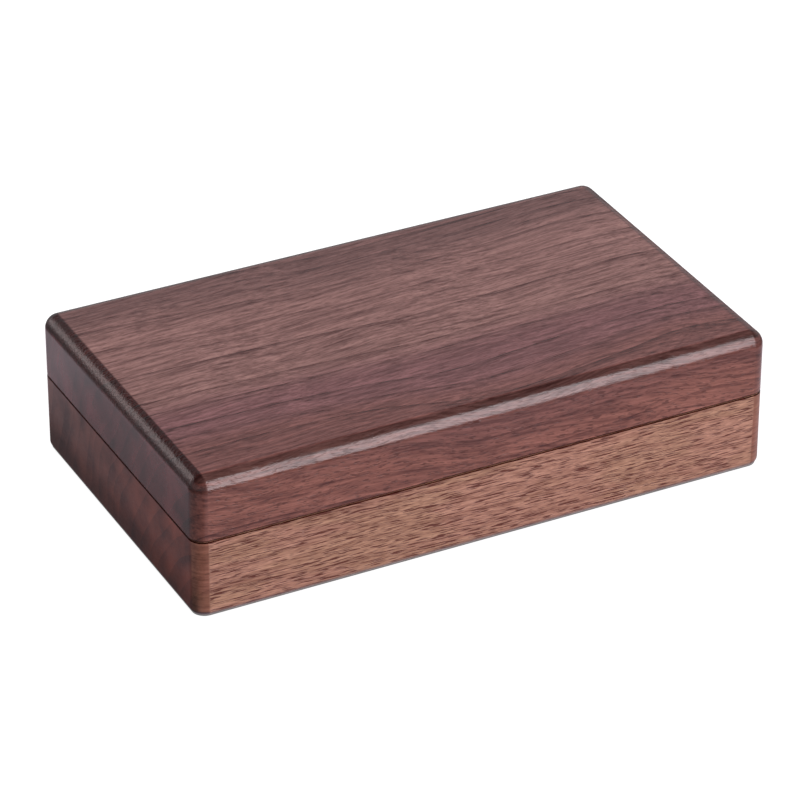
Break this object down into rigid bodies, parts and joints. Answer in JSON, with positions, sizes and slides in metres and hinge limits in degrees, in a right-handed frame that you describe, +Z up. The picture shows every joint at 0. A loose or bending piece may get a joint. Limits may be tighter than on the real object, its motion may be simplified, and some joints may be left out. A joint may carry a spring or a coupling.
{
  "type": "wooden jewelry organizer",
  "caption": "Low rectangular walnut box with a hinged, magnet-held lid over a velvet-lined inside with ring rolls and divided compartments.",
  "frame": {"origin": "middle of the closed box's underside", "axes": "+X along the length to the right, +Y from the front to the hinged back, +Z up"},
  "size_m": [0.2, 0.117, 0.0485],
  "materials": {
    "walnut_lid": "dark reddish walnut, gloss lacquer",
    "walnut_base": "tan walnut, satin lacquer",
    "walnut_dividers": "walnut, matt oil",
    "brass": "satin polished",
    "magnet": "nickel plated",
    "velvet": "short pile velvet"
  },
  "bodies": {
    "base": {"base_shell": "walnut_base", "base_liner": "velvet", "hinge_left_base_leaf": "brass", "hinge_left_pin": "brass", "hinge_right_base_leaf": "brass", "hinge_right_pin": "brass", "hinge_left_base_screw_1": "brass", "hinge_left_base_screw_2": "brass", "hinge_right_base_screw_1": "brass", "hinge_right_base_screw_2": "brass", "magnet_base_left": "magnet", "magnet_base_right": "magnet", "ring_roll_1": "velvet", "ring_roll_2": "velvet", "ring_roll_3": "velvet", "ring_roll_4": "velvet", "ring_roll_5": "velvet", "ring_roll_6": "velvet", "divider_cross": "walnut_dividers", "divider_long": "walnut_dividers", "divider_short_1": "walnut_dividers", "divider_short_2": "walnut_dividers"},
    "lid": {"lid_shell": "walnut_lid", "lid_liner": "velvet", "lid_pad": "velvet", "hinge_left_lid_leaf": "brass", "hinge_right_lid_leaf": "brass", "hinge_left_lid_screw_1": "brass", "hinge_left_lid_screw_2": "brass", "hinge_right_lid_screw_1": "brass", "hinge_right_lid_screw_2": "brass", "magnet_lid_left": "magnet", "magnet_lid_right": "magnet"}
  },
  "joints": [
    {"name": "lid_hinge", "type": "hinge", "parent": "base", "child": "lid", "pos_m": [0, 0.0562, 0.02675], "axis": [-1, 0, 0], "range_deg": [0, 97]}
  ]
}
